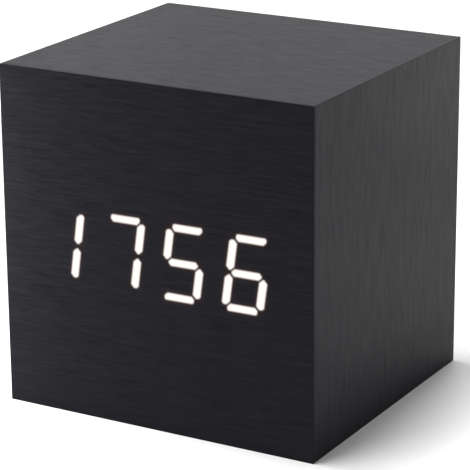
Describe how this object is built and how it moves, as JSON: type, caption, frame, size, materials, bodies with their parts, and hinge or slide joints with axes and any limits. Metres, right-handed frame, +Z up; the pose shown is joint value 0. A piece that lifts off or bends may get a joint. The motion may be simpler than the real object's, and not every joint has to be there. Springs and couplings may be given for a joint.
{
  "type": "wooden cube digital clock",
  "caption": "Small black wood-veneer cube clock whose lit digits show through the front; buttons, power socket and battery bay behind.",
  "frame": {"origin": "centre of the underside", "axes": "+X to the viewer's right, -Y out of the display front, +Z up"},
  "size_m": [0.06, 0.0544, 0.0605],
  "materials": {
    "black_veneer": "black-stained wood veneer, fine straight grain, dull satin",
    "fibreboard": "raw medium-density fibreboard",
    "black_plastic": "fine spark-eroded texture",
    "button_plastic": "smooth satin",
    "reflector_plastic": "plain moulded",
    "light_guide": "milky clear plastic, lit white",
    "circuit_board": "green solder mask with tracks",
    "plated_steel": "bright nickel plating",
    "blackened_steel": "black oxide",
    "cell_sleeve": "printed foil sleeve, plain bands",
    "chip_resin": "moulded resin",
    "insulator": "smooth moulded",
    "red_wire": "soft insulation",
    "black_wire": "soft insulation",
    "grey_ribbon": "ribbed flat cable"
  },
  "bodies": {
    "root": {"front_veneer": "black_veneer", "side_veneer": "black_veneer", "top_board": "fibreboard", "bottom_board": "fibreboard", "right_board": "fibreboard", "left_board": "fibreboard", "front_board": "fibreboard", "corner_block_1": "fibreboard", "corner_block_2": "fibreboard", "corner_block_3": "fibreboard", "corner_block_4": "fibreboard", "display_reflector": "reflector_plastic", "digit_1_light_guide": "light_guide", "digit_2_light_guide": "light_guide", "digit_3_light_guide": "light_guide", "digit_4_light_guide": "light_guide", "colon_light_guide": "light_guide", "led_board": "circuit_board", "display_screw_1": "blackened_steel", "display_screw_2": "blackened_steel", "display_screw_3": "blackened_steel", "display_screw_4": "blackened_steel", "rear_panel": "black_plastic", "rear_screw_1": "blackened_steel", "rear_screw_2": "blackened_steel", "rear_screw_3": "blackened_steel", "rear_screw_4": "blackened_steel", "battery_1": "cell_sleeve", "battery_2": "cell_sleeve", "battery_3": "cell_sleeve", "battery_contact_positive": "plated_steel", "battery_contact_link_left": "plated_steel", "battery_contact_link_right": "plated_steel", "battery_contact_negative": "plated_steel", "set_switch_body": "plated_steel", "down_switch_body": "plated_steel", "up_switch_body": "plated_steel", "power_socket_shell": "plated_steel", "power_socket_tongue": "insulator", "microphone": "plated_steel", "button_board": "circuit_board", "main_board": "circuit_board", "main_board_screw_1": "blackened_steel", "main_board_screw_2": "blackened_steel", "controller_chip": "chip_resin", "quartz_crystal": "plated_steel", "storage_capacitor": "chip_resin", "buzzer": "insulator", "temperature_sensor": "chip_resin", "display_ribbon": "grey_ribbon", "button_ribbon": "grey_ribbon", "battery_lead_positive": "red_wire", "battery_lead_negative": "black_wire"},
    "set_key": {"set_button": "button_plastic", "set_switch_plunger": "insulator"},
    "down_key": {"down_button": "button_plastic", "down_switch_plunger": "insulator"},
    "up_key": {"up_button": "button_plastic", "up_switch_plunger": "insulator"},
    "door": {"battery_door": "black_plastic"}
  },
  "joints": [
    {"name": "set_key_press", "type": "slide", "parent": "root", "child": "set_key", "axis": [0, -1, 0], "range_m": [0, 0.0005], "stiffness_N_per_m": 800, "springref_m": -0.0005},
    {"name": "down_key_press", "type": "slide", "parent": "root", "child": "down_key", "axis": [0, -1, 0], "range_m": [0, 0.0005], "stiffness_N_per_m": 800, "springref_m": -0.0005},
    {"name": "up_key_press", "type": "slide", "parent": "root", "child": "up_key", "axis": [0, -1, 0], "range_m": [0, 0.0005], "stiffness_N_per_m": 800, "springref_m": -0.0005},
    {"name": "battery_door_hinge", "type": "hinge", "parent": "root", "child": "door", "pos_m": [0, 0.02525, 0.01035], "axis": [-1, 0, 0], "range_deg": [0, 80]}
  ]
}
